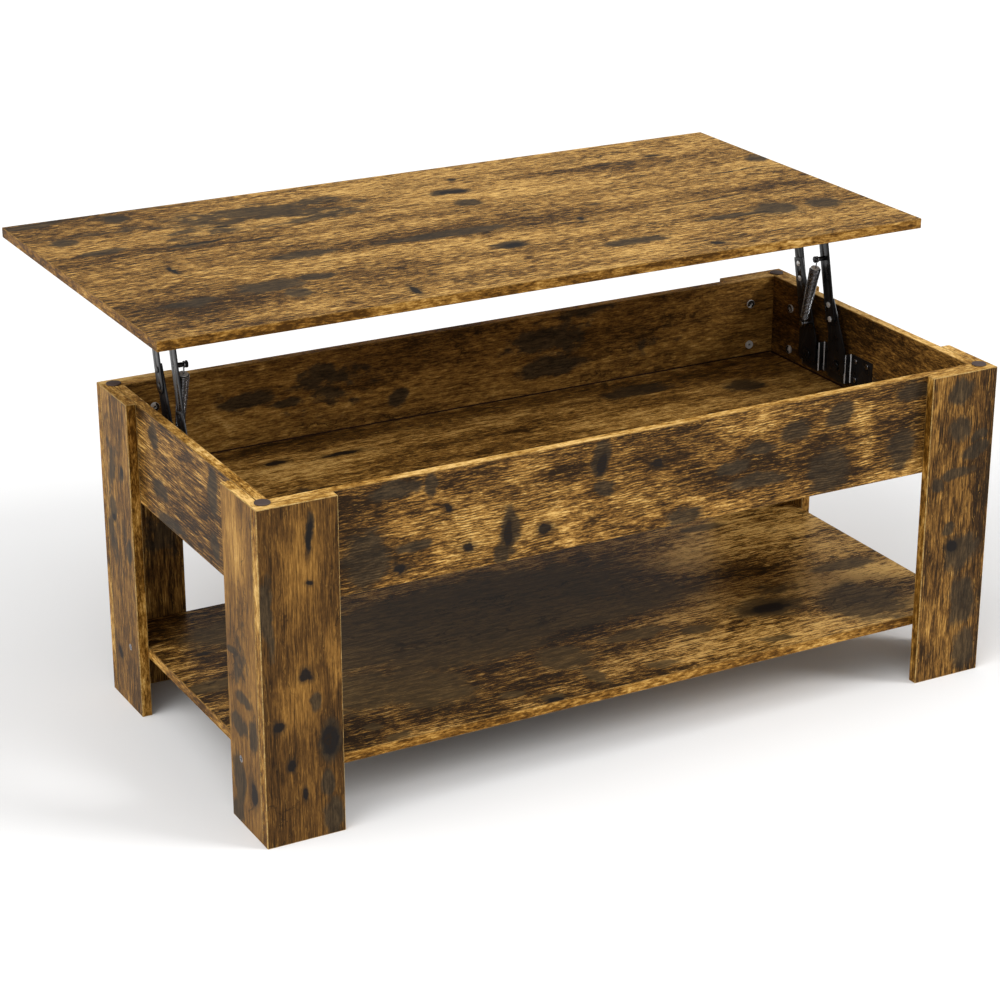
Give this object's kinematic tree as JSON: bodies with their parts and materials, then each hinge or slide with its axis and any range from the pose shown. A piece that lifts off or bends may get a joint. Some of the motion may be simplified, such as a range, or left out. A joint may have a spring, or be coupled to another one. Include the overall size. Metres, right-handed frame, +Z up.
{
  "type": "lift top coffee table",
  "caption": "Storage coffee table with corner board legs, an open box, a lower shelf and a top that lifts forward on parallel spring arms.",
  "frame": {"origin": "on the floor, under the middle of the storage box", "axes": "+X along the table, +Y towards the side the top moves to when it is raised, +Z up"},
  "size_m": [1.205, 0.8345, 0.6281],
  "materials": {
    "board_top": "rustic brown wood print with dark smoky patches, satin laminate",
    "board_leg": "rustic brown wood print, grain upright, satin laminate",
    "board_box": "rustic brown wood print, grain along the board, satin laminate",
    "board_shelf": "rustic brown wood print, grain along the board, satin laminate",
    "dowel_beech": "plain fluted beech",
    "pad_rubber": "dull dark brown purple bumper pad",
    "black_steel": "black powder coat, semi gloss",
    "spring_steel": "black oiled spring wire, glossy",
    "zinc_fitting": "bright zinc plate",
    "insert_brass": "plain turned brass"
  },
  "bodies": {
    "base": {"front_rail": "board_box", "back_rail": "board_box", "left_end_panel": "board_box", "right_end_panel": "board_box", "box_floor": "board_shelf", "lower_shelf": "board_shelf", "front_left_leg_face": "board_leg", "front_left_leg_side": "board_leg", "front_right_leg_face": "board_leg", "front_right_leg_side": "board_leg", "back_left_leg_face": "board_leg", "back_left_leg_side": "board_leg", "back_right_leg_face": "board_leg", "back_right_leg_side": "board_leg", "rim_pads": "pad_rubber", "leg_bolts": "zinc_fitting", "leg_inserts": "insert_brass", "shelf_screws": "zinc_fitting", "floor_cams": "zinc_fitting", "floor_cam_bolts": "zinc_fitting", "corner_dowels": "dowel_beech", "leg_dowels": "dowel_beech", "left_base_bracket": "black_steel", "left_bracket_screws": "black_steel", "left_lower_pivots": "black_steel", "right_base_bracket": "black_steel", "right_bracket_screws": "black_steel", "right_lower_pivots": "black_steel"},
    "left_front_arm": {"left_front_arm_strip": "black_steel", "left_front_arm_plate": "black_steel", "left_front_arm_rivets": "zinc_fitting", "left_upper_spring_pin": "black_steel"},
    "left_rear_arm": {"left_rear_arm_strip": "black_steel", "left_rear_arm_plate": "black_steel", "left_rear_arm_rivets": "zinc_fitting", "left_lower_spring_pin": "black_steel"},
    "left_spring": {"left_spring": "spring_steel"},
    "left_spring_end": {"left_spring_hook": "spring_steel"},
    "right_front_arm": {"right_front_arm_strip": "black_steel", "right_front_arm_plate": "black_steel", "right_front_arm_rivets": "zinc_fitting", "right_upper_spring_pin": "black_steel"},
    "right_rear_arm": {"right_rear_arm_strip": "black_steel", "right_rear_arm_plate": "black_steel", "right_rear_arm_rivets": "zinc_fitting", "right_lower_spring_pin": "black_steel"},
    "right_spring": {"right_spring": "spring_steel"},
    "right_spring_end": {"right_spring_hook": "spring_steel"},
    "top": {"top_panel": "board_top", "left_top_bracket": "black_steel", "left_top_screws": "black_steel", "left_upper_pivots": "black_steel", "right_top_bracket": "black_steel", "right_top_screws": "black_steel", "right_upper_pivots": "black_steel"}
  },
  "joints": [
    {"name": "lift", "type": "hinge", "parent": "base", "child": "left_front_arm", "pos_m": [-0.5276, 0.052, 0.38282], "axis": [1, 0, 0], "range_deg": [0, 82.6]},
    {"name": "left_rear_arm_turn", "type": "hinge", "parent": "base", "child": "left_rear_arm", "pos_m": [-0.5276, 0.121, 0.38282], "axis": [1, 0, 0], "range_deg": [0, 82.6]},
    {"name": "right_front_arm_turn", "type": "hinge", "parent": "base", "child": "right_front_arm", "pos_m": [0.5276, 0.052, 0.38282], "axis": [1, 0, 0], "range_deg": [0, 82.6]},
    {"name": "right_rear_arm_turn", "type": "hinge", "parent": "base", "child": "right_rear_arm", "pos_m": [0.5276, 0.121, 0.38282], "axis": [1, 0, 0], "range_deg": [0, 82.6]},
    {"name": "top_level", "type": "hinge", "parent": "left_front_arm", "child": "top", "pos_m": [-0.5276, 0.10194, 0.59913], "axis": [1, 0, 0], "range_deg": [-82.6, 0]},
    {"name": "left_spring_swing", "type": "hinge", "parent": "left_front_arm", "child": "left_spring", "pos_m": [-0.514, 0.09058, 0.54325], "axis": [1, 0, 0], "range_deg": [-24.66, 0]},
    {"name": "left_spring_stretch", "type": "slide", "parent": "left_spring", "child": "left_spring_end", "axis": [0, 0.2514, -0.9679], "range_m": [0, 0.0676], "deforming": ["left_spring", "left_spring_hook"]},
    {"name": "right_spring_swing", "type": "hinge", "parent": "right_front_arm", "child": "right_spring", "pos_m": [0.514, 0.09058, 0.54325], "axis": [1, 0, 0], "range_deg": [-24.66, 0]},
    {"name": "right_spring_stretch", "type": "slide", "parent": "right_spring", "child": "right_spring_end", "axis": [0, 0.2514, -0.9679], "range_m": [0, 0.0676], "deforming": ["right_spring", "right_spring_hook"]}
  ],
  "couplings": [
    {"joint": "left_rear_arm_turn", "follows": "lift", "ratio": 1},
    {"joint": "right_front_arm_turn", "follows": "lift", "ratio": 1},
    {"joint": "right_rear_arm_turn", "follows": "lift", "ratio": 1},
    {"joint": "top_level", "follows": "lift", "ratio": -1},
    {"joint": "left_spring_swing", "follows": "lift", "ratio": -0.29857},
    {"joint": "left_spring_stretch", "follows": "lift", "m_per_rad": 0.046888},
    {"joint": "right_spring_swing", "follows": "lift", "ratio": -0.29857},
    {"joint": "right_spring_stretch", "follows": "lift", "m_per_rad": 0.046888}
  ]
}
